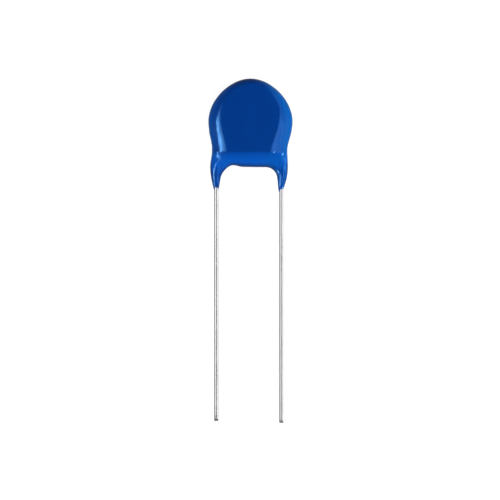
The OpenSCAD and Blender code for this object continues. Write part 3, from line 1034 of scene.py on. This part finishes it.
def add_blue_epoxy(piece):
    material, graph = new_material("blue_epoxy_finish")
    place = graph.place_mm()
    spot = graph.add("ShaderNodeSeparateXYZ", {"Vector": place}).outputs
    normal = graph.add("ShaderNodeTexCoord").outputs["Normal"]
    facing = graph.add("ShaderNodeSeparateXYZ", {"Vector": normal}).outputs["Z"]
    upward = graph.maths("ABSOLUTE", facing)
    face = face_colour(graph, place, spot["Y"])
    shader = graph.add("ShaderNodeBsdfPrincipled", {
        "Base Color": side_colour(graph, face, spot["X"], spot["Y"], upward),
        "Roughness": epoxy_roughness(graph, place, upward),
        "Normal": epoxy_relief(graph, place),
        "IOR": EPOXY_IOR,
        "Specular Tint": EPOXY_TINT})
    piece.data.materials.append(material)
    return finish_with(graph, shader)


print(add_blue_epoxy(coating), "nodes in the epoxy's finish")

# %% [markdown]
# ## The wires
#
# Each lead is one wire: straight outside, bent twice inside the coating, and laid inwards across its
# electrode. Its free end was snipped with side cutters, whose jaws leave two flat slopes that meet in a
# narrow land. A bevelled curve could follow the path, but it has no such end. So the whole wire is one
# sweep of a round section, and the sections at the cut have their top and bottom cut off. The cut also
# pushed the right wire's end aside.

# %% Sections of a wire
WIRE_SIDES = 32


def ring(centre, direction):
    """A round section of the wire, square to its direction."""
    across = np.cross(direction, (0, 0, 1))
    across /= np.linalg.norm(across)
    up = np.cross(across, direction)
    angles = np.linspace(0, 2 * math.pi, WIRE_SIDES, endpoint=False)
    return (centre + wire_r * np.cos(angles)[:, None] * across
            + wire_r * np.sin(angles)[:, None] * up)


def cut_stations():
    """Where along the cut each corner of the round section comes free of the slope: 0 is the tip."""
    corners = wire_r * np.sin(np.linspace(0, math.pi / 2, WIRE_SIDES // 4 + 1))
    stations = (corners - cut_land / 2) / (wire_r - cut_land / 2)
    return [0.0] + [t for t in stations[:-1] if t > 0]


def cut_rings(end_y, pushed):
    """The sections of the snipped end, from its tip up to the full round wire."""
    rings = []
    for t in cut_stations():
        centre = np.array((-lead_x - pushed * (1 - t) ** 2, mix(end_y, end_y + cut_l, t), 0))
        cut = ring(centre, UP_Y)
        half = mix(cut_land / 2, wire_r, t)
        cut[:, 2] = np.clip(cut[:, 2], -half, half)
        rings.append(cut)
    return rings


print(len(cut_stations()), "sections at a snipped end")

# %% Make the wires
STRAIGHT_RINGS = 60
SHARP = math.radians(20)
RIGHT_PUSH = 0.10


def make_wire(name, side, end_y, pushed):
    """A lead, from its snipped end to its end on the electrode. The right one is the left turned over."""
    rings = cut_rings(end_y, pushed)
    for y in np.linspace(end_y + cut_l, grip_y, STRAIGHT_RINGS):
        rings.append(ring(np.array((-lead_x, y, 0)), UP_Y))
    rings += [ring(centre, direction) for centre, direction in wire_path()]
    points, faces = skin(rings)
    if side == RIGHT:
        points = points * (-1, 1, -1)
    piece = to_mesh(name, points, faces)
    piece.data.set_sharp_from_angle(angle=SHARP)
    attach(piece, "root")
    return piece


left_wire = make_wire("left_wire", LEFT, box_mm("left_lead")[0][1], 0.0)
right_wire = make_wire("right_wire", RIGHT, box_mm("right_lead")[0][1], RIGHT_PUSH)
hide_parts("left_lead")
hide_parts("right_lead")
for wire in (left_wire, right_wire):
    print(f"{wire.name}: {len(wire.data.vertices)} points")

# %% [markdown]
# ## Tinned wire
#
# The leads are steel wire with a copper skin and a bright tin plating. Drawing the wire through its die
# leaves fine lines along it, so the grain of its finish is stretched along the wire. Strokes modelled
# one by one would be far below what any view shows. The cut faces have no tin: they show the dull steel
# core. The right wire is the duller of the two.

# %% Tinned wire
STEEL_CORE = (0.62, 0.62, 0.63, 1)
COOL, TARNISH, TARNISH_BLUE = 1.01, 0.88, 0.90
LINE_GRAIN, LINE_STRETCH, LINE_H = 0.10, (1, 60, 1), 0.004
PATCH_GRAIN, PATCH_STRETCH, PATCH_SPREAD = 1.3, (1, 8, 1), (0.35, 0.7)
DULL_RANGE = 0.06
CUT_FACING = (0.12, 0.2)


def tinned_wire(name, tone, dull):
    """Bright or dull tin, and the steel core on faces that look down the wire."""
    material, graph = new_material(name)
    lines = graph.noise(graph.place_mm(LINE_STRETCH), LINE_GRAIN, 3.0, GRAINY)
    patches = graph.noise(graph.place_mm(PATCH_STRETCH), PATCH_GRAIN, 3.0, GRAINY)
    bright = (tone, tone, COOL * tone, 1)
    tarnished = (TARNISH * tone, TARNISH * tone, TARNISH_BLUE * tone, 1)
    tin = graph.mix_colour(graph.remap(patches, *PATCH_SPREAD, 0, 1), bright, tarnished)
    normal = graph.add("ShaderNodeTexCoord").outputs["Normal"]
    along = graph.add("ShaderNodeSeparateXYZ", {"Vector": normal}).outputs["Y"]
    cut = graph.remap(graph.maths("MULTIPLY", along, -1.0), *CUT_FACING, 0, 1)
    colour = graph.mix_colour(cut, tin, STEEL_CORE)
    rough = graph.remap(lines, *NOISE_SPREAD, dull - DULL_RANGE, dull + DULL_RANGE)
    shader = graph.add("ShaderNodeBsdfPrincipled", {
        "Base Color": colour, "Metallic": 1.0, "Roughness": rough, "Normal": graph.bump(lines, LINE_H)})
    finish_with(graph, shader)
    return material


light_only(wire_strips, [left_wire, right_wire], "lit_on_wires")
left_wire.data.materials.append(tinned_wire("bright_tinned_wire", tone=0.64, dull=0.22))
right_wire.data.materials.append(tinned_wire("dull_tinned_wire", tone=0.80, dull=0.42))
print("the wires mirror", " and ".join(strip.name for strip in wire_strips))

# %% [markdown]
# ## The hidden pieces
#
# The disc, its two silver electrodes and the solder joints are sealed in. They could be modelled again
# like the others, but their solids in the frame are already true. So they keep their meshes and only get
# their finishes: a fine-grained fired ceramic, a matt silver film, and bright solder with a slightly
# frosted skin.

# %% Finishes for the hidden pieces


def grained(name, a, b, grain, rough, metallic, bump_mm):
    """A finish that wanders between two colours and two roughnesses, with grains of one size."""
    material, graph = new_material(name)
    spots = graph.noise(graph.place_mm(), grain, 4.0, GRAINY)
    colour = graph.mix_colour(graph.remap(spots, *NOISE_SPREAD, 0, 1), (*a, 1), (*b, 1))
    roughness = graph.remap(spots, *NOISE_SPREAD, *rough)
    surface = graph.bump(spots, bump_mm)
    shader = graph.add("ShaderNodeBsdfPrincipled", {
        "Base Color": colour, "Metallic": metallic, "Roughness": roughness, "Normal": surface})
    finish_with(graph, shader)
    return material


def repaint(node, material):
    piece = frame["nodes"][node]
    for slot in piece.material_slots:
        slot.material = material


ceramic = grained("fired_ceramic_finish", (0.62, 0.50, 0.36), (0.50, 0.39, 0.27),
                  grain=0.25, rough=(0.55, 0.75), metallic=0.0, bump_mm=0.01)
silver = grained("silver_film_finish", (0.84, 0.83, 0.80), (0.74, 0.73, 0.70),
                 grain=0.12, rough=(0.35, 0.55), metallic=1.0, bump_mm=0.003)
solder = grained("solder_finish", (0.72, 0.73, 0.74), (0.58, 0.59, 0.60),
                 grain=0.30, rough=(0.18, 0.38), metallic=1.0, bump_mm=0.006)
hidden = {"ceramic_disc": ceramic, "front_electrode": silver, "back_electrode": silver,
          "front_solder": solder, "back_solder": solder}
for node, material in hidden.items():
    repaint(node, material)
    print(node, "has", material.name)

# %% [markdown]
# ## The size
#
# The finer meshes must stay inside the frame's own box.
